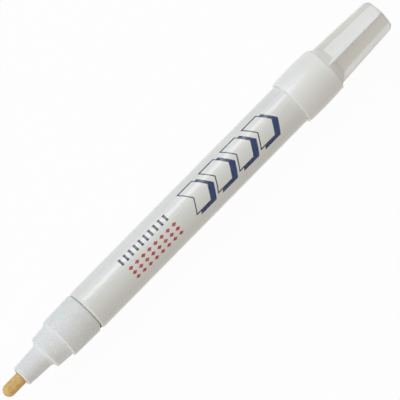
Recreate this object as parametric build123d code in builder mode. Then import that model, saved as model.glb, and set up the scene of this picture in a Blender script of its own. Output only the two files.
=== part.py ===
from build123d import *
import os

# A valve-action paint marker that lies on its side, nib towards -X, with its cap posted on its tail.
# Stations are measured along the marker from the tip of the nib, and radii from its axis.

# Barrel: a drawn aluminium tube, rolled in at the front, necked and closed at the tail
barrel_d = 13.6
barrel_wall = 0.45
barrel_show = 83.95  # from the rolled lip to the mouth of the posted cap
lip_round = 0.9
lip_land = 0.1
tail_step = 0.25  # the radius drops by this, so that the cap goes over the tail
tail_length = 11.3
tail_round = 1.2
neck_show = 0.3  # the neck starts this far ahead of the cap
neck_length = 0.5

# Nib: a bullet of bonded fibre that is pushed in to open the valve
nib_d = 3.9
nib_show = 6.95
nib_chamfer = 0.3
nib_clearance = 0.15
press_travel = 2.0

# Collar: nose cone, cove, step and sleeve in one moulding, with a plug that goes into the barrel
nose_front_d = 6.5
nose_rear_d = 7.36
nose_length = 8.1
nose_edge = 0.3
step_front_d = 10.75
step_rear_d = 11.66
step_length = 5.6
step_edge = 0.2
sleeve_front_setback = 0.28  # how far the sleeve lies inside the barrel's radius at each end
sleeve_rear_setback = 0.1
sleeve_length = 10.9
sleeve_edge = 0.4
sleeve_rear_edge = 0.15
mouth_chamfer = 0.2
neck_clearance = 0.2
plug_clearance = 0.15
plug_length = 11.2
plug_wall = 1.2
plug_chamfer = 0.4
recess_step = 0.4  # shoulder in the collar that the valve seat rests on
chamber_lead = 1.6  # room ahead of the stem's socket

# Seam between collar and barrel, filled by a rubber gasket
seam = 0.6
gasket_setback = 0.7  # the gasket lies this far below the barrel's surface
gasket_round = 0.12

# Valve: seat, stem, washer, spring and cage
touch_gap = 0.05  # between faces that rest on each other
fit_gap = 0.05  # round pieces that are pressed home
seat_lead = 0.6  # the seat starts this far ahead of the collar's rear face
seat_length = 3.3
funnel_depth = 1.1
funnel_width = 1.0
bead_height = 0.3
socket_depth = 2.9
socket_wall = 0.6
socket_floor = 1.4
socket_slot = 0.9
socket_slots = 4
head_share = 0.773  # each round of the valve is a share of the one around it
washer_share = 0.966
port_share = 0.714
rod_share = 0.6
pin_share = 0.833
coil_share = 0.724
head_length = 1.0
washer_length = 1.0
pin_reach = 0.7
pin_clearance = 0.25
wire_d = 0.45
coil_turns = 7
spring_length = 9.0
cage_flange = 1.5
cage_setback = 0.4
cage_wall = 0.8
cage_floor = 1.3
window_count = 4
window_width = 2.8
window_margin = 1.6

# Mixing ball, loose in the paint
ball_d = 5.5
ball_gap = 0.3

# Cap: a round skirt, a run-out and a fluted grip, open at the mouth
cap_clearance = 0.2  # bore of the skirt over the tail
skirt_wall = 0.8
skirt_swell = 0.18  # the skirt's belly stands this far proud of its mouth
skirt_drop = 0.05  # and its top lies this far below the mouth
belly_share = 0.42
mouth_edge = 0.25
shoulder_round = 0.4
shoulder_lead = 1.23  # the shoulder stands this far ahead of the pocket's end
bead_rise = 0.13  # ring in the bore that grips the tail
bead_depth = 2.4
bead_span = 1.6
stop_gap = 0.3  # from the tail's end to the stop inside the skirt
closing_gap = 1.0  # from the mouth to the barrel's lip when the marker is closed
pocket_clearance = 0.17
tip_room = 1.8
end_wall = 2.37
ridge_setback = 0.1  # the ridges start this far inside the skirt's top
grip_end_d = 12.24
end_round = 1.1
end_dome = 0.3
flute_count = 6
floor_share = 0.735  # flute floor and flute curve, as shares of the ridges' radius
curve_share = 0.88
flare_setback = 0.7  # the run-out starts this far inside the ridges
flare_reach = 1.12  # and ends this far past the seat of the liner
flare_swell_share = 0.125

# Liner: the inner cap that seals on the nose
liner_wall = 0.5
liner_flange = 0.45
liner_mouth_clearance = 0.22
liner_end_d = 6.4
flange_clearance = 0.1

# Radii that follow from these
barrel_r = barrel_d / 2
bore_r = barrel_r - barrel_wall
lip_arc_r = barrel_r - lip_round
hole_r = lip_arc_r - lip_land
tail_r = barrel_r - tail_step
nib_r = nib_d / 2
nib_bore_r = nib_r + nib_clearance
nose_front_r = nose_front_d / 2
nose_rear_r = nose_rear_d / 2
step_front_r = step_front_d / 2
step_rear_r = step_rear_d / 2
cove_r = step_front_r - step_edge - nose_rear_r
sleeve_front_r = barrel_r - sleeve_front_setback
sleeve_rear_r = barrel_r - sleeve_rear_setback
collar_neck_r = hole_r - neck_clearance
plug_r = bore_r - plug_clearance
recess_r = plug_r - plug_wall
chamber_r = recess_r - recess_step
seat_r = recess_r - fit_gap
socket_bore_r = nib_r + fit_gap
socket_r = socket_bore_r + socket_wall
wire_r = wire_d / 2
cage_r = seat_r - cage_setback
cage_bore_r = cage_r - cage_wall
head_r = cage_bore_r * head_share
washer_r = head_r * washer_share
port_r = washer_r * port_share
rod_r = port_r * rod_share
pin_r = rod_r * pin_share
coil_r = head_r * coil_share
ball_r = ball_d / 2
skirt_bore_r = tail_r + cap_clearance
skirt_mouth_r = skirt_bore_r + skirt_wall
skirt_belly_r = skirt_mouth_r + skirt_swell
skirt_top_r = skirt_mouth_r - skirt_drop
pocket_mouth_r = step_rear_r + pocket_clearance
pocket_end_r = step_front_r + pocket_clearance
ridge_r = skirt_top_r - ridge_setback
grip_end_r = grip_end_d / 2
liner_mouth_r = nose_rear_r + liner_mouth_clearance
liner_end_r = liner_end_d / 2

# Stations that follow from them
collar_front = nib_show
cove = collar_front + nose_length
step = cove + cove_r
sleeve = step + step_length
collar_rear = sleeve + sleeve_length
lip = collar_rear + seam
plug_front = lip + lip_round + touch_gap
plug_rear = plug_front + plug_length
seat_front = collar_rear - seat_lead
socket_rear = seat_front - touch_gap - press_travel
socket_base = socket_rear - socket_floor
nib_length = socket_base - touch_gap
socket_front = nib_length - socket_depth
chamber_front = socket_front - chamber_lead
seat_rear = seat_front + seat_length
bead_rear = seat_rear + bead_height
washer_front = bead_rear + touch_gap
head_front = washer_front + washer_length
head_rear = head_front + head_length
spring_front = head_rear + touch_gap
spring_rear = spring_front + spring_length
cage_front = seat_rear + touch_gap
cage_back = spring_rear + touch_gap
cage_rear = cage_back + cage_floor
mouth = lip + barrel_show
tail_end = mouth + tail_length
neck = mouth - neck_show
stop = tail_end + stop_gap
pocket_end = mouth + lip - closing_gap - step + touch_gap
shoulder = pocket_end - shoulder_lead
liner_seat = pocket_end + liner_flange
liner_deep = mouth + lip - closing_gap + tip_room
liner_back = liner_deep + liner_wall
cap_end = liner_back + end_wall
flare_end = liner_seat + flare_reach
ridge_root = shoulder - shoulder_round

# The marker rests on the belly of its cap, and its middle is the origin
axis_height = skirt_belly_r
axial = Plane(origin=(-cap_end / 2, 0, axis_height), x_dir=(1, 0, 0), z_dir=(0, -1, 0))
marker_axis = Axis(axial.origin, axial.x_dir)


def across(station):
    return Plane(origin=axial.from_local_coords((station, 0, 0)), x_dir=(0, 1, 0), z_dir=(1, 0, 0))


def ridge_radius(station):
    along = (station - shoulder) / (cap_end - shoulder)
    return ridge_r + (grip_end_r - ridge_r) * along


os.makedirs("parts", exist_ok=True)

with BuildPart() as barrel:
    with BuildSketch(axial):
        with BuildLine():
            Line((lip, hole_r), (lip, lip_arc_r))
            CenterArc((lip + lip_round, lip_arc_r), lip_round, 180, -90)
            Polyline(
                (lip + lip_round, barrel_r),
                (neck, barrel_r),
                (neck + neck_length, tail_r),
                (tail_end - tail_round, tail_r),
            )
            CenterArc((tail_end - tail_round, tail_r - tail_round), tail_round, 90, -90)
            Polyline(
                (tail_end, tail_r - tail_round),
                (tail_end, 0),
                (tail_end - barrel_wall, 0),
                (tail_end - barrel_wall, tail_r - tail_round),
            )
            CenterArc((tail_end - tail_round, tail_r - tail_round), tail_round - barrel_wall, 0, 90)
            Polyline(
                (tail_end - tail_round, tail_r - barrel_wall),
                (neck + neck_length, tail_r - barrel_wall),
                (neck, bore_r),
                (lip + lip_round, bore_r),
            )
            CenterArc((lip + lip_round, lip_arc_r), lip_round - barrel_wall, 90, 90)
            Polyline((lip + barrel_wall, lip_arc_r), (lip + barrel_wall, hole_r), (lip, hole_r))
        make_face()
    revolve(axis=marker_axis)
barrel.part.label = "barrel"
export_step(barrel.part, "parts/barrel.step")

with BuildPart() as nib_collar:
    with BuildSketch(axial):
        with BuildLine():
            Line(
                (collar_front, nib_bore_r + mouth_chamfer),
                (collar_front, nose_front_r - nose_edge),
            )
            CenterArc((collar_front + nose_edge, nose_front_r - nose_edge), nose_edge, 180, -90)
            Line((collar_front + nose_edge, nose_front_r), (cove, nose_rear_r))
            CenterArc((cove, nose_rear_r + cove_r), cove_r, -90, 90)
            CenterArc((step + step_edge, step_front_r - step_edge), step_edge, 180, -90)
            Polyline(
                (step + step_edge, step_front_r),
                (sleeve, step_rear_r),
                (sleeve, sleeve_front_r - sleeve_edge),
            )
            CenterArc((sleeve + sleeve_edge, sleeve_front_r - sleeve_edge), sleeve_edge, 180, -90)
            Line(
                (sleeve + sleeve_edge, sleeve_front_r),
                (collar_rear - sleeve_rear_edge, sleeve_rear_r),
            )
            CenterArc(
                (collar_rear - sleeve_rear_edge, sleeve_rear_r - sleeve_rear_edge),
                sleeve_rear_edge,
                90,
                -90,
            )
            Polyline(
                (collar_rear, sleeve_rear_r - sleeve_rear_edge),
                (collar_rear, collar_neck_r),
                (plug_front, collar_neck_r),
                (plug_front, plug_r),
                (plug_rear - plug_chamfer, plug_r),
                (plug_rear, plug_r - plug_chamfer),
                (plug_rear, recess_r),
                (seat_front - touch_gap, recess_r),
                (seat_front - touch_gap, chamber_r),
                (chamber_front, chamber_r),
                (chamber_front, nib_bore_r),
                (collar_front + mouth_chamfer, nib_bore_r),
                (collar_front, nib_bore_r + mouth_chamfer),
            )
        make_face()
    revolve(axis=marker_axis)
nib_collar.part.label = "nib_collar"
export_step(nib_collar.part, "parts/nib_collar.step")

with BuildPart() as collar_gasket:
    gasket_in_r = collar_neck_r + fit_gap
    gasket_out_r = barrel_r - gasket_setback
    with BuildSketch(axial):
        with Locations(((collar_rear + lip) / 2, (gasket_in_r + gasket_out_r) / 2)):
            RectangleRounded(seam - 2 * fit_gap, gasket_out_r - gasket_in_r, gasket_round)
    revolve(axis=marker_axis)
collar_gasket.part.label = "collar_gasket"
export_step(collar_gasket.part, "parts/collar_gasket.step")

with BuildPart() as nib:
    with BuildSketch(axial):
        with BuildLine():
            CenterArc((nib_r, 0), nib_r, 90, 90)
            Polyline(
                (0, 0),
                (nib_length, 0),
                (nib_length, nib_r - nib_chamfer),
                (nib_length - nib_chamfer, nib_r),
                (nib_r, nib_r),
            )
        make_face()
    revolve(axis=marker_axis)
nib.part.label = "nib"
export_step(nib.part, "parts/nib.step")

with BuildPart() as valve_seat:
    with BuildSketch(axial):
        with BuildLine():
            Polyline(
                (seat_front, port_r + funnel_width),
                (seat_front, seat_r),
                (seat_rear, seat_r),
                (seat_rear, washer_r),
                (bead_rear, washer_r),
                (bead_rear, port_r),
                (seat_front + funnel_depth, port_r),
                close=True,
            )
        make_face()
    revolve(axis=marker_axis)
valve_seat.part.label = "valve_seat"
export_step(valve_seat.part, "parts/valve_seat.step")

with BuildPart() as valve_stem:
    with BuildSketch(axial):
        with BuildLine():
            Polyline(
                (socket_front, socket_bore_r),
                (socket_front, socket_r),
                (socket_rear, socket_r),
                (socket_rear, rod_r),
                (head_front, rod_r),
                (head_front, head_r),
                (head_rear, head_r),
                (head_rear, pin_r),
                (cage_back + pin_reach, pin_r),
                (cage_back + pin_reach, 0),
                (socket_base, 0),
                (socket_base, socket_bore_r),
                close=True,
            )
        make_face()
    revolve(axis=marker_axis)
    with BuildSketch(across(socket_front)):
        with PolarLocations(socket_r, socket_slots, start_angle=45):
            Rectangle(2 * socket_wall, socket_slot)
    extrude(amount=socket_depth - socket_wall, mode=Mode.SUBTRACT)
valve_stem.part.label = "valve_stem"
export_step(valve_stem.part, "parts/valve_stem.step")

with BuildPart() as stem_washer:
    with BuildSketch(across(washer_front)):
        Circle(washer_r)
        Circle(rod_r + fit_gap, mode=Mode.SUBTRACT)
    extrude(amount=washer_length)
stem_washer.part.label = "stem_washer"
export_step(stem_washer.part, "parts/stem_washer.step")

coil_rise = spring_length - wire_d
with BuildPart() as valve_spring:
    with BuildLine(across(spring_front + wire_r)):
        coil = Helix(coil_rise / coil_turns, coil_rise, coil_r, direction=marker_axis.direction)
    with BuildSketch(Plane(origin=coil @ 0, z_dir=coil % 0)):
        Circle(wire_r)
    sweep(path=coil, is_frenet=True)
valve_spring.part.label = "valve_spring"
export_step(valve_spring.part, "parts/valve_spring.step")
print("gap between the spring's turns:", round(coil_rise / coil_turns - wire_d, 3))

with BuildPart() as spring_cage:
    with BuildSketch(axial):
        with BuildLine():
            Polyline(
                (cage_front, cage_bore_r),
                (cage_front, seat_r),
                (cage_front + cage_flange, seat_r),
                (cage_front + cage_flange, cage_r),
                (cage_rear, cage_r),
                (cage_rear, pin_r + pin_clearance),
                (cage_back, pin_r + pin_clearance),
                (cage_back, cage_bore_r),
                close=True,
            )
        make_face()
    revolve(axis=marker_axis)
    window_front = cage_front + cage_flange + window_margin
    with BuildSketch(across(window_front)):
        with PolarLocations(cage_r, window_count, start_angle=45):
            Rectangle(2 * cage_wall + cage_setback, window_width)
    extrude(amount=cage_back - window_margin - window_front, mode=Mode.SUBTRACT)
spring_cage.part.label = "spring_cage"
export_step(spring_cage.part, "parts/spring_cage.step")

ball_station = cage_rear + ball_gap + ball_r
ball_drop = tail_r - barrel_wall - ball_gap - ball_r
with BuildPart(Plane(axial.from_local_coords((ball_station, -ball_drop, 0)))) as mixing_ball:
    Sphere(ball_r)
mixing_ball.part.label = "mixing_ball"
export_step(mixing_ball.part, "parts/mixing_ball.step")

with BuildPart() as cap_shell:
    # Six scooped flutes leave six ridges, which taper from inside the shoulder to the end
    for station in (ridge_root, cap_end):
        ridge = ridge_radius(station)
        curve = ridge * curve_share
        with BuildSketch(across(station)):
            Circle(ridge)
            with PolarLocations(ridge * floor_share + curve, flute_count):
                Circle(curve, mode=Mode.SUBTRACT)
    loft()
    # The ridges' ends are rounded off and the end face is slightly domed
    end_edge_r = ridge_radius(cap_end - end_round) - end_round
    with BuildSketch(axial):
        with BuildLine():
            Polyline(
                (cap_end, 0),
                (ridge_root, 0),
                (ridge_root, ridge_radius(ridge_root)),
                (cap_end - end_dome - end_round, ridge_radius(cap_end - end_dome - end_round)),
            )
            rounded = TangentArc(
                (cap_end - end_dome - end_round, ridge_radius(cap_end - end_dome - end_round)),
                (cap_end - end_dome, end_edge_r),
                tangent=(cap_end - shoulder, grip_end_r - ridge_r),
            )
            Spline(rounded @ 1, (cap_end, 0), tangents=(rounded % 1, (0, -1)))
        make_face()
    revolve(axis=marker_axis, mode=Mode.INTERSECT)
    # Skirt with its slight belly and rounded shoulder, and the run-out into the flutes
    flare_start_r = ridge_r - flare_setback
    flare_end_r = ridge_radius(flare_end) * floor_share - touch_gap
    flare_middle = (shoulder + flare_end) / 2
    flare_middle_r = (flare_start_r + flare_end_r) / 2 + (flare_end - shoulder) * flare_swell_share
    with BuildSketch(axial):
        with BuildLine():
            Line((mouth, 0), (mouth, skirt_mouth_r - mouth_edge))
            CenterArc((mouth + mouth_edge, skirt_mouth_r - mouth_edge), mouth_edge, 180, -90)
            ThreePointArc(
                (mouth + mouth_edge, skirt_mouth_r),
                (mouth + (shoulder - mouth) * belly_share, skirt_belly_r),
                (ridge_root, skirt_top_r),
            )
            CenterArc((ridge_root, skirt_top_r - shoulder_round), shoulder_round, 90, -90)
            Line((shoulder, skirt_top_r - shoulder_round), (shoulder, flare_start_r))
            ThreePointArc(
                (shoulder, flare_start_r),
                (flare_middle, flare_middle_r),
                (flare_end, flare_end_r),
            )
            Polyline((flare_end, flare_end_r), (flare_end, 0), (mouth, 0))
        make_face()
    revolve(axis=marker_axis)
    # Bore over the tail, pocket for the collar's step and seat for the liner
    liner_out_mouth_r = liner_mouth_r + liner_wall + fit_gap
    liner_out_end_r = liner_end_r + liner_wall + fit_gap
    bead_middle = mouth + bead_depth
    with BuildSketch(axial):
        with BuildLine():
            Polyline(
                (mouth, 0),
                (mouth, skirt_bore_r + mouth_edge),
                (mouth + mouth_edge, skirt_bore_r),
                (bead_middle - bead_span / 2, skirt_bore_r),
            )
            ThreePointArc(
                (bead_middle - bead_span / 2, skirt_bore_r),
                (bead_middle, skirt_bore_r - bead_rise),
                (bead_middle + bead_span / 2, skirt_bore_r),
            )
            Polyline(
                (bead_middle + bead_span / 2, skirt_bore_r),
                (stop, skirt_bore_r),
                (stop, pocket_mouth_r),
                (pocket_end, pocket_end_r),
                (liner_seat, pocket_end_r),
                (liner_seat, liner_out_mouth_r),
                (liner_back + touch_gap, liner_out_end_r),
                (liner_back + touch_gap, 0),
                (mouth, 0),
            )
        make_face()
    revolve(axis=marker_axis, mode=Mode.SUBTRACT)
cap_shell.part.label = "cap_shell"
export_step(cap_shell.part, "parts/cap_shell.step")

with BuildPart() as cap_liner:
    with BuildSketch(axial):
        with BuildLine():
            Polyline(
                (pocket_end, liner_mouth_r),
                (pocket_end, pocket_end_r - flange_clearance),
                (liner_seat - touch_gap, pocket_end_r - flange_clearance),
                (liner_seat - touch_gap, liner_mouth_r + liner_wall),
                (liner_back, liner_end_r + liner_wall),
                (liner_back, 0),
                (liner_deep, 0),
                (liner_deep, liner_end_r),
                close=True,
            )
        make_face()
    revolve(axis=marker_axis)
cap_liner.part.label = "cap_liner"
export_step(cap_liner.part, "parts/cap_liner.step")
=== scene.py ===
import math
import bpy
from mathutils import Matrix, Vector


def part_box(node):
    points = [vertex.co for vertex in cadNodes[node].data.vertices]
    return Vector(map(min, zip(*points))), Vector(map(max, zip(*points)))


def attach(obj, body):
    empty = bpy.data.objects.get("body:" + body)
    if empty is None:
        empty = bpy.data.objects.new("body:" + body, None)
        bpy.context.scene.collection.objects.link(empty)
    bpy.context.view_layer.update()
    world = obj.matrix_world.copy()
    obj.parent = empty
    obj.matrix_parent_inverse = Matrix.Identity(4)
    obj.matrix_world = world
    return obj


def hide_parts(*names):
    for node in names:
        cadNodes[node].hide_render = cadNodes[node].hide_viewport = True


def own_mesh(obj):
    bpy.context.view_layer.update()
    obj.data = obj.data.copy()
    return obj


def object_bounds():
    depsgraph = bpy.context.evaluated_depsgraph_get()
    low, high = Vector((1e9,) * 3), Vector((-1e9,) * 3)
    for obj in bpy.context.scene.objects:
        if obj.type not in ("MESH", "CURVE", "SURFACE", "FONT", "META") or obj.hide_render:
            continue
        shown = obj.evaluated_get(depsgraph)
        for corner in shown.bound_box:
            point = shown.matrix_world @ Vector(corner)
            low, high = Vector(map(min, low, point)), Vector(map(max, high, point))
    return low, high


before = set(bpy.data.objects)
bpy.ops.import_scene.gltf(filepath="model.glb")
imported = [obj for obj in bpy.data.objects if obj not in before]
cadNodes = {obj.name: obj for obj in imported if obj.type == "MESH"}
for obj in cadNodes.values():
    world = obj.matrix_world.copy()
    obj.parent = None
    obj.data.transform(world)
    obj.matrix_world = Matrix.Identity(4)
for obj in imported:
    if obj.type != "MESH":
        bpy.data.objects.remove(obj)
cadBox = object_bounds()
print("frame loaded:", len(cadNodes), "nodes")

mm = 0.001
near = 0.01  # millimetres within which two stations or radii count as one
mergeWithin = 0.002 * mm  # vertices closer than this become one
barrelLow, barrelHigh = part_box("barrel")
axisZ = (barrelLow.z + barrelHigh.z) / 2  # height of the marker's axis
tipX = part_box("nib")[0].x  # the nib's tip, station 0 for every piece


# places on the marker: a station is in millimetres from the tip, a reach in millimetres from the axis
def stationAt(point):
    return (point.x - tipX) / mm


def stationOf(node, end):  # where a CAD node starts (0) or ends (1)
    return stationAt(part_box(node)[end])


def reachOf(point):
    return math.hypot(point.y, point.z - axisZ) / mm


def turnOf(point):  # a point's angle round the axis
    return math.atan2(point.z - axisZ, point.y)


def onAxis(station):
    return tipX + station * mm, 0, axisZ


def scaleAcross(vertex, grow):  # moves a vertex straight out from the axis, or in
    vertex.co.y *= grow
    vertex.co.z = axisZ + (vertex.co.z - axisZ) * grow


# ring by ring modelling round the marker's axis, stations and radii in millimetres
def startCircle(name, count, radius, location, rotation=(0, 0, 0)):
    bpy.ops.object.select_all(action="DESELECT")
    bpy.ops.mesh.primitive_circle_add(vertices=count, radius=radius * mm, location=location, rotation=rotation)
    circle = bpy.context.object
    circle.name = name
    circle.data.name = name
    bpy.ops.object.transform_apply(location=True, rotation=True, scale=True)
    return circle


def editAll():
    bpy.ops.object.mode_set(mode="EDIT")
    bpy.ops.mesh.select_all(action="SELECT")


def pullRings(path):  # draws the open ring on from the path's first station and radius through the others
    for (lastStation, lastRadius), (station, radius) in zip(path, path[1:]):
        bpy.ops.mesh.extrude_region_move(
            TRANSFORM_OT_translate={"value": ((station - lastStation) * mm, 0, 0)}
        )
        grow = radius / lastRadius
        bpy.ops.transform.resize(value=(1, grow, grow), center_override=onAxis(station))


def ringPiece(name, path, count):  # starts a piece as an open ring and draws it out along its path
    station, radius = path[0]
    piece = startCircle(name, count, radius, onAxis(station), (0, math.pi / 2, 0))
    editAll()
    pullRings(path)
    return piece


def onArc(station, radius, size, deg):
    angle = math.radians(deg)
    return station + size * math.cos(angle), radius + size * math.sin(angle)


def bend(station, radius, size, fromDeg, toDeg, steps):  # an arc round a centre, as stations and radii
    return [onArc(station, radius, size, fromDeg + (toDeg - fromDeg) * k / steps) for k in range(steps + 1)]


def frontEdge(station, radius, size, steps, fromDeg=180):  # a rounded edge that faces the nib
    return bend(station + size, radius - size, size, fromDeg, 90, steps)


def evenly(start, end, steps):  # values from start to end, without the first
    return [start + (end - start) * k / steps for k in range(1, steps + 1)]


def closePoles():  # gathers the open ring at the axis, then the ring that the piece started from
    bpy.ops.mesh.merge(type="CENTER")
    bpy.ops.mesh.select_all(action="DESELECT")
    bpy.ops.mesh.select_non_manifold(extend=False, use_wire=False, use_multi_face=False,
                                     use_non_contiguous=False, use_verts=False)
    bpy.ops.mesh.merge(type="CENTER")


def closeShell(piece, creaseDeg):  # merges doubles, turns faces outwards and smooths all but the creases
    bpy.ops.mesh.select_all(action="SELECT")
    bpy.ops.mesh.remove_doubles(threshold=mergeWithin)
    bpy.ops.mesh.normals_make_consistent(inside=False)
    bpy.ops.object.mode_set(mode="OBJECT")
    bpy.ops.object.shade_smooth_by_angle(angle=math.radians(creaseDeg))


def place(piece, body, node):  # the piece stands for its CAD node and moves with its body
    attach(piece, body)
    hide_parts(node)


# barrel: enamelled tube, rolled in at the lip, necked under the cap
capMouth = stationOf("cap_shell", 0) + 0.26  # drawn a little further back than the solid's
tube = {
    "lip": stationOf("barrel", 0) - 0.44, "end": stationOf("barrel", 1), "radius": 6.8, "wall": 0.45,
    "roll": 0.9, "rollHold": 0.6, "hole": 5.8, "neckShow": 0.1, "neckLength": 0.35, "neckHold": 0.4,
    "neckEase": (0.1, 0.03), "tail": 6.55, "tailRound": 1.2, "endRing": 2.5, "pole": 0.4, "count": 192,
}


def makeBarrel():
    lip, end, radius, wall, tail = (tube[key] for key in ("lip", "end", "radius", "wall", "tail"))
    neck = capMouth - tube["neckShow"]
    neckEnd = neck + tube["neckLength"]
    easeX, easeR = tube["neckEase"]
    rollX, rollR = lip + tube["roll"], radius - tube["roll"]
    endX, endR = end - tube["tailRound"], tail - tube["tailRound"]
    path = [(end, tube["pole"]), (end, tube["endRing"])]
    path += bend(endX, endR, tube["tailRound"], 0, 90, steps=6)
    path += [(neckEnd, tail), (neckEnd - easeX, tail + easeR), (neck + easeX, radius - easeR)]
    path += [(neck, radius), (neck - tube["neckHold"], radius), (rollX + tube["rollHold"], radius)]
    path += bend(rollX, rollR, tube["roll"], 90, 180, steps=12)
    path += [(lip, tube["hole"]), (lip + wall, tube["hole"])]
    path += bend(rollX, rollR, tube["roll"] - wall, 180, 90, steps=6)
    path += [(neck, radius - wall), (neckEnd, tail - wall)]
    path += bend(endX, endR, tube["tailRound"] - wall, 90, 0, steps=4)
    path += [(end - wall, tube["pole"])]
    barrel = ringPiece("barrelTube", path, tube["count"])
    closePoles()
    closeShell(barrel, creaseDeg=40)
    place(barrel, "barrel", "barrel")
    return barrel


# collar: nose cone, cove, step and sleeve, with the plug that goes into the barrel
nose = {
    "front": stationOf("nib_collar", 0), "frontR": 3.25, "edge": 0.6, "boreR": 2.1, "mouth": 0.2,
    "mouthEase": (0.04, 0.05), "length": 8.1, "coneR": 3.68, "coneHold": (0.3, 0.02), "coveR": 1.495,
    "stepR": 5.375, "stepEdge": 0.35, "stepLength": 5.6, "stepRearR": 5.83,
    "stepFillet": ((-0.12, -0.01), (-0.02, 0.03), (0, 0.12)),
    "sleeveR": 6.52, "sleeveEdge": 0.5, "sleeveLength": 10.9, "rearMore": 0.1, "rearR": 6.7, "rearEdge": 0.5,
    "rebateR": 6.05, "gape": 0.6, "gapeDepth": 0.6, "gapeTurn": 165, "gapeSpread": (11, 45),
    "neckR": 5.6, "neckLength": 1.55, "plugR": 6.2, "plugEdge": 0.4, "plugEnd": stationOf("nib_collar", 1),
    "seatLead": 0.65, "recessR": 5.0, "chamberR": 4.6, "chamberLead": 8.6, "count": 192,
}


def shadeSideGapeAt(point):  # how far the collar's rear edge stands open, only on the -Y side away from the key lights, so that black rubber shows there as a dark spot standing in for shade
    off = (math.degrees(turnOf(point)) - nose["gapeTurn"] + 180) % 360 - 180
    spread = nose["gapeSpread"][0 if off < 0 else 1]  # it ends soon on top and trails off below
    return nose["gape"] * math.exp(-(off / spread) ** 2)


def makeCollar():
    front, plugEnd = nose["front"], nose["plugEnd"]
    cove = front + nose["length"]
    step = cove + nose["coveR"]
    sleeve = step + nose["stepLength"]
    rear = sleeve + nose["sleeveLength"]
    rim = rear + nose["rearMore"]
    plug = rear + nose["neckLength"]
    seat = rear - nose["seatLead"]
    chamber = rear - nose["chamberLead"]
    easeX, easeR = nose["mouthEase"]
    holdX, holdR = nose["coneHold"]
    mouthR = nose["boreR"] + nose["mouth"]
    first = (front + nose["mouth"], nose["boreR"])
    path = [first, (front + easeX, mouthR - easeR), (front, mouthR)]
    path += frontEdge(front, nose["frontR"], nose["edge"], steps=8)
    path += [(cove - holdX, nose["coneR"] - holdR)]
    path += bend(cove, nose["coneR"] + nose["coveR"], nose["coveR"], -90, 0, steps=14)
    path += frontEdge(step, nose["stepR"], nose["stepEdge"], steps=6, fromDeg=170)
    path += [(sleeve + dx, nose["stepRearR"] + dr) for dx, dr in nose["stepFillet"]]
    path += frontEdge(sleeve, nose["sleeveR"], nose["sleeveEdge"], steps=8)
    path += bend(rim - nose["rearEdge"], nose["rearR"] - nose["rearEdge"], nose["rearEdge"], 90, 0, steps=5)
    path += [(rim, nose["rebateR"]), (rear, nose["rebateR"]), (rear, nose["neckR"])]
    path += [(plug, nose["neckR"]), (plug, nose["plugR"])]
    path += [(plugEnd - nose["plugEdge"], nose["plugR"]), (plugEnd, nose["plugR"] - nose["plugEdge"])]
    path += [(plugEnd, nose["recessR"]), (seat, nose["recessR"]), (seat, nose["chamberR"])]
    path += [(chamber, nose["chamberR"]), (chamber, nose["boreR"]), first]
    collar = ringPiece("collarNose", path, nose["count"])
    closeShell(collar, creaseDeg=32)
    # painted shade: the rear edge opens only on the unlit side, where the black gasket then shows as a dark spot
    for vertex in collar.data.vertices:
        atRim = rim - nose["gapeDepth"] < stationAt(vertex.co) < rim + near
        if atRim and reachOf(vertex.co) > nose["neckR"] - near:
            vertex.co.x -= shadeSideGapeAt(vertex.co) * mm
    place(collar, "barrel", "nib_collar")
    return collar


# gasket: the dark ring in the seam between collar and barrel
seal = {
    "front": nose["front"] + 26.1, "rear": stationOf("collar_gasket", 0) + 0.1, "inR": 5.65, "outR": 6.02,
    "round": 0.04, "follow": 0.95, "squeeze": 0.6, "count": 128,
}


def makeGasket():
    size = seal["round"]
    frontX, rearX = seal["front"] + size, seal["rear"] - size
    lowR, highR = seal["inR"] + size, seal["outR"] - size
    path = bend(frontX, lowR, size, 270, 180, steps=4) + bend(frontX, highR, size, 180, 90, steps=5)
    path += bend(rearX, highR, size, 90, 0, steps=5) + bend(rearX, lowR, size, 0, -90, steps=4)
    gasket = ringPiece("sealRing", path + path[:1], seal["count"])
    closeShell(gasket, creaseDeg=60)
    middle, midR = (seal["front"] + seal["rear"]) / 2, (seal["inR"] + seal["outR"]) / 2
    for vertex in gasket.data.vertices:  # painted shade: where the collar gapes on the unlit side, the dark rubber is pushed forward and out to fill the gap
        gape, reach = shadeSideGapeAt(vertex.co), reachOf(vertex.co)
        if stationAt(vertex.co) < middle:
            vertex.co.x -= gape * seal["follow"] * mm
        elif reach > midR:
            scaleAcross(vertex, 1 + gape * seal["squeeze"] / reach)
    place(gasket, "barrel", "collar_gasket")
    return gasket


# nib: fibre bullet
felt = {
    "radius": 1.95, "poleDeg": 176, "tipDeg": 172, "shankPast": 2, "shankRings": 5, "end": stationOf("nib", 1),
    "endRing": 0.5, "chamfer": 0.3, "aside": 0.12, "count": 96,
}


def makeNib():
    radius, end, chamfer = felt["radius"], felt["end"], felt["chamfer"]
    shank = evenly(radius, nose["front"] + felt["shankPast"], felt["shankRings"])
    path = [onArc(radius, 0, radius, felt["poleDeg"])] + bend(radius, 0, radius, felt["tipDeg"], 90, steps=16)
    path += [(station, radius) for station in shank]
    path += [(end - chamfer, radius), (end, radius - chamfer), (end, felt["endRing"])]
    nib = ringPiece("nibFelt", path, felt["count"])
    closePoles()
    closeShell(nib, creaseDeg=50)
    for vertex in nib.data.vertices:  # it leans in its bore as far as the slack there lets it
        along = (end - stationAt(vertex.co)) / (end - nose["front"])
        vertex.co.y -= felt["aside"] * mm * along
    place(nib, "nib", "nib")
    return nib


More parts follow.
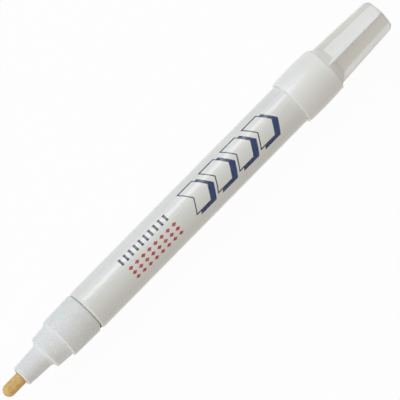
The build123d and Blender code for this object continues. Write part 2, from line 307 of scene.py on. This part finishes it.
# cap: round skirt with a slight belly, then a grip with six flutes, each a flat floor between two sloped walls
grip = {
    "skirt": 14.25, "mouthR": 7.55, "bellyR": 7.73, "topR": 7.5, "bellyAt": 0.42, "edge": 0.25, "lead": 0.08,
    "shoulderRound": 0.4, "ridgeR": 7.38, "end": stationOf("cap_shell", 1) + 0.1, "endR": 6.1, "endRound": 2.1,
    "endFrom": 10, "endSoft": 1.4, "endReach": 1.8, "dome": 0.3, "domeShare": 0.8, "pole": 0.35,
    "flutes": 6, "floor": 0.706, "turn": 1.5, "wallFoot": 0.27, "wallSlope": 1.0, "soft": 1.4, "crease": 0.12,
    "flareR": 7.15, "flareLength": 2.75, "flareSwell": 0.02, "flareSoft": 0.16, "flarePast": 0.4,
    "bore": 6.75, "beadAt": 2.4, "beadShape": ((-0.8, 0), (-0.4, 0.1), (0, 0.13), (0.4, 0.1), (0.8, 0)),
    "stop": 11.34, "pocketR": 6.0, "pocketEnd": stationOf("cap_liner", 0), "pocketEndR": 5.545,
    "flange": 0.45, "seatR": 4.45, "back": stationOf("cap_liner", 1) + 0.05, "backR": 3.75, "backRing": 0.4,
    "domeRings": 8, "endRings": 12, "ridgeRings": 34, "flareRings": 24, "shoulderRings": 9, "skirtRings": 18,
    "count": 360,
}
shoulder = capMouth + grip["skirt"]
flareEnd = shoulder + grip["flareLength"]


def ridgeAt(station):
    along = (station - shoulder) / (grip["end"] - shoulder)
    return grip["ridgeR"] + (grip["endR"] - grip["ridgeR"]) * along


def softLess(a, b, k):  # the lesser of two, with the corner between them rounded
    h = max(k - abs(a - b), 0) / k
    return min(a, b) - h * h * k / 4


def floorAt(station):  # how far a flute's floor lies from the axis, with the ramp that ends it at the shoulder
    flat = ridgeAt(station) * grip["floor"]
    if station > flareEnd:
        return flat
    along = max((station - shoulder) / grip["flareLength"], 0)
    chord = grip["flareR"] + (ridgeAt(flareEnd) * grip["floor"] - grip["flareR"]) * along
    return -softLess(-flat, -chord - 4 * grip["flareSwell"] * along * (1 - along), grip["flareSoft"])


def shoulderAt(station):  # the skirt's rounded top edge
    size = grip["shoulderRound"]
    reach = min(max(station - shoulder + size, 0), size)
    return grip["topR"] - size + math.sqrt(size ** 2 - reach ** 2)


def gripRadius(angle, station):  # the grip's radius at an angle round the axis
    sector = 2 * math.pi / grip["flutes"]
    off = abs((angle - math.radians(grip["turn"]) + sector / 2) % sector - sector / 2)
    ridge = ridgeAt(station)
    foot = ridge * (grip["floor"] - grip["wallSlope"] * grip["wallFoot"])
    wall = foot / (math.cos(off) - grip["wallSlope"] * math.sin(off))
    scoop = -softLess(-floorAt(station) / math.cos(off), -wall, grip["crease"])
    return softLess(scoop, ridge, grip["soft"])


def capOutside():  # the rings from the domed end to the mouth, and how many lie on the grip and above the skirt
    end, size = grip["end"], grip["shoulderRound"]
    edgeX = end - grip["dome"] - grip["endRound"]
    edgeR = ridgeAt(edgeX) - grip["endRound"]
    fluteEnd = flareEnd + grip["flarePast"]
    path = [(end, grip["pole"])]
    path += [(end - grip["dome"] * share ** 2 * grip["domeShare"], edgeR * share)
             for share in evenly(0, 1, grip["domeRings"])]
    path += bend(edgeX, edgeR, grip["endRound"], grip["endFrom"], 90, steps=grip["endRings"])[1:]
    path += [(station, ridgeAt(station)) for station in evenly(edgeX, fluteEnd, grip["ridgeRings"])]
    path += [(station, ridgeAt(station)) for station in evenly(fluteEnd, shoulder, grip["flareRings"])]
    gripRings = len(path)
    path += [(shoulder - size * (1 - math.cos(math.radians(deg))), ridgeAt(shoulder))
             for deg in [0] + evenly(0, 90, grip["shoulderRings"])]
    rootRings = len(path)
    root, last = shoulder - size, capMouth + grip["edge"]
    belly = capMouth + grip["skirt"] * grip["bellyAt"]
    for station in evenly(root, last, grip["skirtRings"]):  # the skirt swells to its belly, less at both ends
        side, reach = (grip["topR"], root - belly) if station > belly else (grip["mouthR"], belly - last)
        path.append((station, grip["bellyR"] - (grip["bellyR"] - side) * ((station - belly) / reach) ** 2))
    path += bend(last, grip["mouthR"] - grip["edge"], grip["edge"], 90, 180, steps=6)
    return path, gripRings, rootRings


def capInside():  # the bore with its bead, the pocket, and the seat of the liner
    bore, stop, beadX = grip["bore"], capMouth + grip["stop"], capMouth + grip["beadAt"]
    seat = grip["pocketEnd"] + grip["flange"]
    path = [(capMouth, bore + grip["lead"]), (capMouth + grip["lead"], bore)]
    path += [(beadX + dx, bore - dr) for dx, dr in grip["beadShape"]]
    path += [(stop, bore), (stop, grip["pocketR"])]
    path += [(grip["pocketEnd"], grip["pocketEndR"]), (seat, grip["pocketEndR"]), (seat, grip["seatR"])]
    path += [(grip["back"], grip["backR"]), (grip["back"], grip["backRing"])]
    return path


def makeCap():
    path, gripRings, rootRings = capOutside()
    cap = ringPiece("flutedCap", path, grip["count"])
    bpy.ops.object.mode_set(mode="OBJECT")
    for vertex in cap.data.vertices[:rootRings * grip["count"]]:  # scoops the flutes and lays in their run-outs
        station, reach = stationAt(vertex.co), reachOf(vertex.co)
        soft = grip["endSoft"] * min(max(station - grip["end"] + grip["endReach"], near), 1)  # rounds their ends
        shaped = softLess(gripRadius(turnOf(vertex.co), station), reach, soft)
        if vertex.index >= gripRings * grip["count"]:
            shaped = max(shaped, shoulderAt(station))
        scaleAcross(vertex, shaped / reach)
    bpy.ops.object.mode_set(mode="EDIT")
    pullRings(path[-1:] + capInside())
    closePoles()
    closeShell(cap, creaseDeg=38)
    place(cap, "cap", "cap_shell")
    print("cap rings:", gripRings, "on the grip,", len(path), "outside")
    return cap


# valve spring: one wire wound by a screw
coil = {
    "front": stationOf("valve_spring", 0), "length": 9.0, "wire": 0.45, "radius": 2.0987, "turns": 7, "steps": 28,
    "sides": 14, "travel": 2.0,
}


def makeSpring():
    wire, length = coil["wire"], coil["length"]
    startX = onAxis(coil["front"] + wire / 2)[0]
    spring = startCircle("valveCoil", coil["sides"], wire / 2, (startX, coil["radius"] * mm, 0))
    wind = spring.modifiers.new("wind", "SCREW")
    wind.axis = "X"
    wind.angle = 2 * math.pi * coil["turns"]
    wind.screw_offset = (length - wire) * mm
    wind.steps = coil["steps"] * coil["turns"]
    wind.render_steps = wind.steps
    bpy.ops.object.modifier_apply(modifier="wind")
    editAll()
    bpy.ops.mesh.fill_holes(sides=0)
    bpy.ops.transform.translate(value=(0, 0, axisZ))
    closeShell(spring, creaseDeg=60)
    place(spring, "barrel", "valve_spring")
    onAxis(coil["front"] + length)
    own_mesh(spring)
    return spring


# valve stem: the CAD shape with the end of its pin tapered, which clears the ball when the nib is pressed in
pin = {"end": stationOf("valve_stem", 1), "taper": 0.6, "tip": 0.5}


def makeStem():
    bpy.ops.object.select_all(action="DESELECT")
    stem = bpy.data.objects.new("pinStem", cadNodes["valve_stem"].data.copy())
    stem.data.name = "pinStem"
    bpy.context.scene.collection.objects.link(stem)
    stem.select_set(True)
    bpy.context.view_layer.objects.active = stem
    editAll()
    bpy.ops.mesh.remove_doubles(threshold=mergeWithin)
    bpy.ops.mesh.bisect(plane_co=onAxis(pin["end"] - pin["taper"]), plane_no=(1, 0, 0))
    bpy.ops.object.mode_set(mode="OBJECT")
    for vertex in stem.data.vertices:
        if stationAt(vertex.co) > pin["end"] - near:
            scaleAcross(vertex, pin["tip"])
    bpy.ops.object.mode_set(mode="EDIT")
    closeShell(stem, creaseDeg=35)
    place(stem, "stem", "valve_stem")
    return stem


barrelTube = makeBarrel()
collarNose = makeCollar()
sealRing = makeGasket()
nibFelt = makeNib()
flutedCap = makeCap()
valveCoil = makeSpring()
pinStem = makeStem()
modelled = (barrelTube, collarNose, sealRing, nibFelt, flutedCap, valveCoil, pinStem)
print("pieces modelled:", [piece.name for piece in modelled])


# shader maths: a socket that adds Math nodes as it is used in an expression
class Wire:
    def __init__(self, tree, socket):
        self.tree = tree
        self.socket = socket

    def out(self, name):  # another output of the same node
        return Wire(self.tree, self.socket.node.outputs[name])

    def math(self, operation, *values):
        return addNode(self.tree, "ShaderNodeMath", {"operation": operation}, dict(enumerate(values)))

    def __add__(self, other):
        return self.math("ADD", self, other)

    def __radd__(self, other):
        return self.math("ADD", other, self)

    def __sub__(self, other):
        return self.math("SUBTRACT", self, other)

    def __rsub__(self, other):
        return self.math("SUBTRACT", other, self)

    def __mul__(self, other):
        return self.math("MULTIPLY", self, other)

    def __rmul__(self, other):
        return self.math("MULTIPLY", other, self)

    def __truediv__(self, other):
        return self.math("DIVIDE", self, other)

    def __rtruediv__(self, other):
        return self.math("DIVIDE", other, self)

    def __lt__(self, other):
        return self.math("LESS_THAN", self, other)

    def __gt__(self, other):
        return self.math("GREATER_THAN", self, other)

    def __and__(self, other):
        return self.math("MULTIPLY", self, other)

    def __rand__(self, other):
        return self.math("MULTIPLY", other, self)

    def __or__(self, other):
        return self.math("MAXIMUM", self, other)

    def __ror__(self, other):
        return self.math("MAXIMUM", other, self)

    def __abs__(self):
        return self.math("ABSOLUTE", self)

    def fract(self):
        return self.math("FRACT", self)


def addNode(tree, kind, settings, sockets, output=0):  # any node: its type, its settings, then its sockets
    node = tree.nodes.new(kind)
    for name, value in settings.items():
        setattr(node, name, value)
    for name, value in sockets.items():
        if isinstance(value, Wire):
            tree.links.new(value.socket, node.inputs[name])
        else:
            node.inputs[name].default_value = value
    return Wire(tree, node.outputs[output]) if node.outputs else None


def newFinish(name, plain, **fixed):  # a material with its Principled shader, and the constants on its sockets
    finish = bpy.data.materials.new(name)
    finish.use_nodes = True
    finish.diffuse_color = (*plain, 1)
    shader = finish.node_tree.nodes["Principled BSDF"]
    shader.inputs["Base Color"].default_value = (*plain, 1)
    for socket, value in fixed.items():
        shader.inputs[socket.replace("_", " ")].default_value = value
    return finish, finish.node_tree, shader


def feed(tree, shader, **wires):  # what changes over the surface
    for socket, wire in wires.items():
        tree.links.new(wire.socket, shader.inputs[socket.replace("_", " ")])


def objectPoint(tree):
    return addNode(tree, "ShaderNodeTexCoord", {}, {}, "Object")


def alongMarker(tree, point):  # the station of a place on the surface
    split = addNode(tree, "ShaderNodeSeparateXYZ", {}, {0: point})
    return (split.out("X") - tipX) / mm


def roundBarrel(tree, point):  # millimetres round the barrel from its top
    split = addNode(tree, "ShaderNodeSeparateXYZ", {}, {0: point})
    return split.math("ARCTAN2", split.out("Y"), split.out("Z") - axisZ) * tube["radius"]


def noise(tree, point, scale, detail=3.0, rough=0.55, stretch=(1, 1, 1)):
    spread = addNode(tree, "ShaderNodeMapping", {}, {"Vector": point, "Scale": stretch})
    return addNode(tree, "ShaderNodeTexNoise", {},
                   {"Vector": spread, "Scale": scale, "Detail": detail, "Roughness": rough})


def blendColour(tree, share, a, b):
    def full(colour):
        return colour if isinstance(colour, Wire) else (*colour, 1)
    return addNode(tree, "ShaderNodeMix", {"data_type": "RGBA"}, {0: share, 6: full(a), 7: full(b)}, 2)


def span(tree, value, low, high, toLow=0, toHigh=1):  # maps a value from one range to another, held at the ends
    return addNode(tree, "ShaderNodeMapRange", {"clamp": True},
                   {"Value": value, "From Min": low, "From Max": high, "To Min": toLow, "To Max": toHigh})


def bump(tree, height, strength, depth):  # the depth in millimetres
    return addNode(tree, "ShaderNodeBump", {}, {"Height": height, "Strength": strength, "Distance": depth * mm})


noiseRange = (0.3, 0.7)  # where most of a noise's values lie

# barrel enamel with its print: chevrons with a drop shade, a block of lozenges and a row of bars
enamel = {
    "white": (0.8, 0.8, 0.785), "cloud": (0.78, 0.78, 0.762), "cloudScale": 60, "cloudRange": (0.35, 0.7),
    "ink": (0.008, 0.011, 0.045), "blue": (0.008, 0.045, 0.2), "red": (0.5, 0.035, 0.045),
    "wearScale": 900, "wearRange": (0.3, 0.6), "wear": 0.86, "hazeScale": 400, "roughness": (0.07, 0.12),
    "inkRough": 0.04, "inkHeight": 0.6, "peelScale": 700, "peel": (0.04, 0.02),
}
chevrons = {
    "from": 77.6, "count": 4, "pitch": 8.8, "width": 5.4, "half": 4.0, "slope": 0.62, "side": 0.9, "lead": 0.8,
    "line": 0.4, "shade": (1.3, -0.9),
}
lozenges = {"from": 49.2, "to": 69.2, "low": -4.6, "high": 0.4, "long": 2.5, "tall": 1.667, "fill": 0.36}
bars = {"from": 49.2, "to": 69.2, "low": 1.6, "high": 3.9, "pitch": 2.0, "thick": 0.8}


def chevronMask(x, arc, grow):  # 1 inside the row of chevrons, drawn larger by grow
    aside = abs(arc - chevrons["side"])
    u = x - chevrons["from"] + aside * chevrons["slope"]
    turn = ((u + chevrons["lead"]) / chevrons["pitch"]).fract() * chevrons["pitch"] - chevrons["lead"]
    middle = chevrons["width"] / 2
    body = abs(turn - middle) < middle + grow
    tall = aside < chevrons["half"] + grow
    whole = (u > -chevrons["lead"]) & (u < chevrons["pitch"] * chevrons["count"] - chevrons["lead"])
    return body & tall & whole


def within(x, arc, field):  # 1 inside a field of the print
    return (x > field["from"]) & (x < field["to"]) & (arc > field["low"]) & (arc < field["high"])


def makeEnamel():
    finish, tree, shader = newFinish("barrelEnamel", enamel["white"], IOR=1.5, Specular_IOR_Level=0.42)
    point = objectPoint(tree)
    x, arc = alongMarker(tree, point), roundBarrel(tree, point)
    cloudy = span(tree, noise(tree, point, enamel["cloudScale"]), *enamel["cloudRange"])
    colour = blendColour(tree, cloudy, enamel["white"], enamel["cloud"])
    dx, da = chevrons["shade"]
    face, edge = (chevronMask(x, arc, grow) for grow in (0, chevrons["line"]))
    shade, shadeEdge = (chevronMask(x - dx, arc - da, grow) for grow in (0, chevrons["line"]))
    navy = (edge | shadeEdge) & (1 - face)
    blue = shade & (1 - edge)
    along = abs(((x - lozenges["from"]) / lozenges["long"]).fract() - 0.5)
    across = abs(((arc - lozenges["low"]) / lozenges["tall"]).fract() - 0.5)
    block = (along + across < lozenges["fill"]) & within(x, arc, lozenges)
    tick = ((x - bars["from"]) / bars["pitch"]).fract() < bars["thick"] / bars["pitch"]
    ticks = tick & within(x, arc, bars)
    inkWear = span(tree, noise(tree, point, enamel["wearScale"], 2), *enamel["wearRange"], enamel["wear"], 1)
    for mask, ink in ((navy, "ink"), (blue, "blue"), (block, "red"), (ticks, "ink")):
        colour = blendColour(tree, mask & inkWear, colour, enamel[ink])
    printed = navy | blue | block | ticks
    rough = span(tree, noise(tree, point, enamel["hazeScale"], 2), *noiseRange, *enamel["roughness"])
    peel = noise(tree, point, enamel["peelScale"], 2) + printed * enamel["inkHeight"]
    feed(tree, shader, Base_Color=colour, Roughness=rough + printed * enamel["inkRough"],
         Normal=bump(tree, peel, *enamel["peel"]))
    return finish


# cap: the same white in gloss plastic, with painted shade that greys the skirt a little
capGloss = {
    "plain": (0.9, 0.895, 0.885), "pale": (0.915, 0.91, 0.9), "deep": (0.885, 0.88, 0.865),
    "flowScale": 90, "flowRough": 0.5, "flowStretch": (0.4, 1, 1), "flowRange": (0.35, 0.7),
    "dull": (0.25, 0.25, 0.24), "dullShare": 0.05, "dullLength": 4, "hazeScale": 500, "roughness": (0.2, 0.27),
    "peelScale": 600, "peel": (0.04, 0.02),
}


def makeCapPlastic():
    finish, tree, shader = newFinish("capPlastic", capGloss["plain"], IOR=1.49, Specular_IOR_Level=0.4)
    point = objectPoint(tree)
    x = alongMarker(tree, point)
    flow = noise(tree, point, capGloss["flowScale"], 3, capGloss["flowRough"], capGloss["flowStretch"])
    colour = blendColour(tree, span(tree, flow, *capGloss["flowRange"]), capGloss["pale"], capGloss["deep"])
    # painted shade: the skirt is greyed by a twentieth, fading out over the last 4 mm before the shoulder, so the
    # flutes stay brighter
    skirtPaintedShade = span(tree, x, shoulder - capGloss["dullLength"], shoulder, capGloss["dullShare"], 0)
    colour = blendColour(tree, skirtPaintedShade, colour, capGloss["dull"])
    rough = span(tree, noise(tree, point, capGloss["hazeScale"], 2), *noiseRange, *capGloss["roughness"])
    peel = noise(tree, point, capGloss["peelScale"], 2)
    feed(tree, shader, Base_Color=colour, Roughness=rough, Normal=bump(tree, peel, *capGloss["peel"]))
    return finish


# collar: pale moulded plastic with a fine spark-eroded grain
collarGrain = {
    "plain": (0.8, 0.805, 0.815), "dark": (0.705, 0.708, 0.715), "pale": (0.889, 0.892, 0.899),
    "patch": (0.753, 0.755, 0.764), "grainScale": 2600, "grainRough": 0.6, "patchScale": 420,
    "patchRange": (0.35, 0.7), "patchShare": 0.35, "roughness": (0.34, 0.46), "patchHeight": 0.5,
    "relief": (0.2, 0.05),
}


def makeCollarPlastic():
    finish, tree, shader = newFinish("collarPlastic", collarGrain["plain"], IOR=1.46, Specular_IOR_Level=0.3)
    point = objectPoint(tree)
    grain = noise(tree, point, collarGrain["grainScale"], 2, collarGrain["grainRough"])
    patch = noise(tree, point, collarGrain["patchScale"], 2)
    patchy = span(tree, patch, *collarGrain["patchRange"], 0, collarGrain["patchShare"])
    colour = blendColour(tree, span(tree, grain, *noiseRange), collarGrain["dark"], collarGrain["pale"])
    colour = blendColour(tree, patchy, colour, collarGrain["patch"])
    feed(tree, shader, Base_Color=colour, Roughness=span(tree, patch, *noiseRange, *collarGrain["roughness"]),
         Normal=bump(tree, grain + patch * collarGrain["patchHeight"], *collarGrain["relief"]))
    return finish


# nib: tan fibre that runs lengthwise, blotted and flecked, darker where it has drawn up paint vehicle
nibFibre = {
    "plain": (0.6, 0.38, 0.15), "dark": (0.63, 0.38, 0.13), "pale": (0.9, 0.63, 0.29),
    "strandScale": 3600, "strandRough": 0.6, "strandStretch": (0.16, 1, 1), "strandRange": (0.32, 0.7),
    "blot": (0.72, 0.4, 0.11), "blotScale": 520, "blotRange": (0.42, 0.68), "blotShare": 0.5,
    "fleck": (0.5, 0.35, 0.13), "fleckScale": 1500, "fleckRange": (0.5, 0.7), "fleckShare": 0.5,
    "soaked": (0.46, 0.26, 0.08), "soakedRange": (5.6, 7.6), "soakedShare": 0.4,
    "roughness": (0.72, 0.9), "blotHeight": 0.4, "relief": (0.5, 0.06),
}


def makeNibFibre():
    finish, tree, shader = newFinish("nibFibre", nibFibre["plain"], IOR=1.4)
    point = objectPoint(tree)
    x = alongMarker(tree, point)
    strand = noise(tree, point, nibFibre["strandScale"], 3, nibFibre["strandRough"], nibFibre["strandStretch"])
    blot = noise(tree, point, nibFibre["blotScale"])
    fleck = noise(tree, point, nibFibre["fleckScale"], 2)
    colour = blendColour(tree, span(tree, strand, *nibFibre["strandRange"]), nibFibre["dark"], nibFibre["pale"])
    for wire, stain in ((blot, "blot"), (fleck, "fleck"), (x, "soaked")):
        share = span(tree, wire, *nibFibre[stain + "Range"], 0, nibFibre[stain + "Share"])
        colour = blendColour(tree, share, colour, nibFibre[stain])
    feed(tree, shader, Base_Color=colour, Roughness=span(tree, strand, *noiseRange, *nibFibre["roughness"]),
         Normal=bump(tree, strand + blot * nibFibre["blotHeight"], *nibFibre["relief"]))
    return finish


# the other pieces: two close tones, the scale of the noise between them, roughness, strength of bump and metal
mottled = {
    "gasketRubber": ((0.02, 0.02, 0.02), (0.05, 0.05, 0.05), 1800, (0.5, 0.68), 0.2, 0),
    "valvePlastic": ((0.7, 0.7, 0.68), (0.79, 0.79, 0.77), 900, (0.3, 0.42), 0.1, 0),
    "springSteel": ((0.5, 0.5, 0.5), (0.66, 0.66, 0.65), 2400, (0.22, 0.34), 0.1, 1),
    "ballSteel": ((0.62, 0.62, 0.62), (0.72, 0.72, 0.71), 700, (0.06, 0.14), 0.04, 1),
    "linerPlastic": ((0.74, 0.74, 0.71), (0.82, 0.82, 0.79), 800, (0.34, 0.46), 0.1, 0),
}
mottleDepth = 0.03


def makeMottled(name):
    dark, pale, scale, rough, strength, metal = mottled[name]
    finish, tree, shader = newFinish(name, pale, Metallic=metal)
    mottle = noise(tree, objectPoint(tree), scale)
    colour = blendColour(tree, span(tree, mottle, *noiseRange), dark, pale)
    feed(tree, shader, Base_Color=colour, Roughness=span(tree, mottle, *noiseRange, *rough),
         Normal=bump(tree, mottle, strength, mottleDepth))
    return finish


def dress(piece, finish):
    piece.data.materials.clear()
    piece.data.materials.append(finish)


rubber, acetal, steelWire, steelBall, linerWhite = (makeMottled(name) for name in mottled)
for piece, finish in (
    (barrelTube, makeEnamel()), (collarNose, makeCollarPlastic()), (sealRing, rubber), (nibFelt, makeNibFibre()),
    (flutedCap, makeCapPlastic()), (valveCoil, steelWire), (pinStem, acetal), (cadNodes["valve_seat"], acetal),
    (cadNodes["stem_washer"], rubber), (cadNodes["spring_cage"], acetal), (cadNodes["mixing_ball"], steelBall),
    (cadNodes["cap_liner"], linerWhite),
):
    dress(piece, finish)
print("finishes set:", len(bpy.data.materials))


def plainlySeen(tree):  # 1 for what the camera, a reflection or clear glass looks at
    ray = addNode(tree, "ShaderNodeLightPath", {}, {}, "Is Camera Ray")
    return ray | ray.out("Is Glossy Ray") | ray.out("Is Transmission Ray")


# floor: plain and white to the camera, and it keeps the marker's shadow
ground = {"size": 3.0, "white": (0.86, 0.855, 0.84), "glow": 0.96}


def makeFloor():
    bpy.ops.object.select_all(action="DESELECT")
    bpy.ops.mesh.primitive_plane_add(size=ground["size"], location=(0, 0, cadBox[0][2]))
    floor = bpy.context.object
    floor.name = "studioFloor"
    bpy.ops.object.transform_apply(location=True, rotation=True, scale=True)
    finish = bpy.data.materials.new("floorWhite")
    finish.use_nodes = True
    tree = finish.node_tree
    tree.nodes.clear()
    matte = addNode(tree, "ShaderNodeBsdfDiffuse", {}, {"Color": (*ground["white"], 1)})
    glow = addNode(tree, "ShaderNodeEmission", {}, {"Color": (1, 1, 1, 1), "Strength": 1.0})
    mixed = addNode(tree, "ShaderNodeMixShader", {}, {0: plainlySeen(tree) * ground["glow"], 1: matte, 2: glow})
    addNode(tree, "ShaderNodeOutputMaterial", {}, {"Surface": mixed})
    floor.data.materials.append(finish)


makeFloor()


# surround: a dim warm light all round, seen as plain white
surround = {"colour": (1.0, 0.96, 0.86), "strength": 0.35}


def makeSurround():
    world = bpy.data.worlds.new("studio")
    bpy.context.scene.world = world
    world.use_nodes = True
    sky = world.node_tree
    sky.nodes.clear()
    lit = addNode(sky, "ShaderNodeBackground", {},
                  {"Color": (*surround["colour"], 1), "Strength": surround["strength"]})
    white = addNode(sky, "ShaderNodeBackground", {}, {"Color": (1, 1, 1, 1), "Strength": 1.0})
    mixed = addNode(sky, "ShaderNodeMixShader", {}, {0: plainlySeen(sky), 1: lit, 2: white})
    addNode(sky, "ShaderNodeOutputWorld", {}, {"Surface": mixed})


makeSurround()

# soft panels that face the marker, a warm one above and cool ones from the +Y side and the nib's end: where each
# stands, how far off, its width and height in metres, its watts and its colour
coolLight, paleLight = (0.74, 0.87, 1.0), (0.93, 0.96, 1.0)
panels = {
    "keyPanel": ((0.1, 0.91, 0.407), 1.0, (0.35, 0.5), 1.07, coolLight),
    "sidePanel": ((-0.6, 0.68, 0.42), 1.0, (0.8, 0.5), 1.7, coolLight),
    "stripPanel": ((0.12, 0.7, 0.7), 1.0, (0.23, 0.38), 1.45, paleLight),  # draws the highlight line
    "fillPanel": ((-0.55, 0.5, 0.67), 1.0, (0.5, 0.5), 0.55, paleLight),
    "topPanel": ((0.1, 0.4, 0.91), 1.0, (0.5, 0.15), 0.5, (0.97, 0.98, 1.0)),
    "nosePanel": ((-0.97, -0.12, 0.16), 0.9, (0.5, 0.24), 1.3, (0.84, 0.9, 1.0)),
    "skyPanel": ((-0.6, -0.3, 0.74), 1.3, (1.2, 1.2), 3.6, (1.0, 0.955, 0.86)),
}
for name, (towards, distance, size, watts, colour) in panels.items():
    lamp = bpy.data.lights.new(name, "AREA")
    lamp.shape = "RECTANGLE"
    lamp.size, lamp.size_y = size
    lamp.energy = watts
    lamp.color = colour
    panel = bpy.data.objects.new(name, lamp)
    bpy.context.scene.collection.objects.link(panel)
    direction = Vector(towards).normalized()
    panel.location = Vector((0, 0, axisZ)) + direction * distance
    panel.rotation_euler = direction.to_track_quat("Z", "Y").to_euler()
print("lights set:", len(panels), "panels")

# camera: near overhead, leaning a little towards the nib, turned so that the cap is up and to the right
view = {
    "lean": 8.4, "distance": 1.25, "pxPerMm": 3.49, "turn": 45.43, "atX": 79.235, "atY": -0.85, "image": 400,
    "sensor": 36, "clipEnd": 20,
}


def makeCamera():
    lens = bpy.data.cameras.new("camera")
    lens.sensor_width = view["sensor"]
    lens.lens = view["pxPerMm"] * view["distance"] / mm * view["sensor"] / view["image"]
    lens.clip_end = view["clipEnd"]
    camera = bpy.data.objects.new("camera", lens)
    bpy.context.scene.collection.objects.link(camera)
    lean, turn = math.radians(view["lean"]), math.radians(view["turn"])
    along = Vector((math.cos(lean), 0, math.sin(lean)))  # the marker's axis as the picture shows it
    side = Vector((0, 1, 0))
    back = Vector((-math.sin(lean), 0, math.cos(lean)))
    right = along * math.cos(turn) - side * math.sin(turn)
    up = along * math.sin(turn) + side * math.cos(turn)
    spot = Vector((tipX + view["atX"] * mm, view["atY"] * mm, axisZ)) + back * view["distance"]
    camera.matrix_world = Matrix.Translation(spot) @ Matrix((right, up, back)).transposed().to_4x4()
    bpy.context.scene.camera = camera


makeCamera()
bpy.context.scene.view_settings.view_transform = "Standard"
print("camera set")
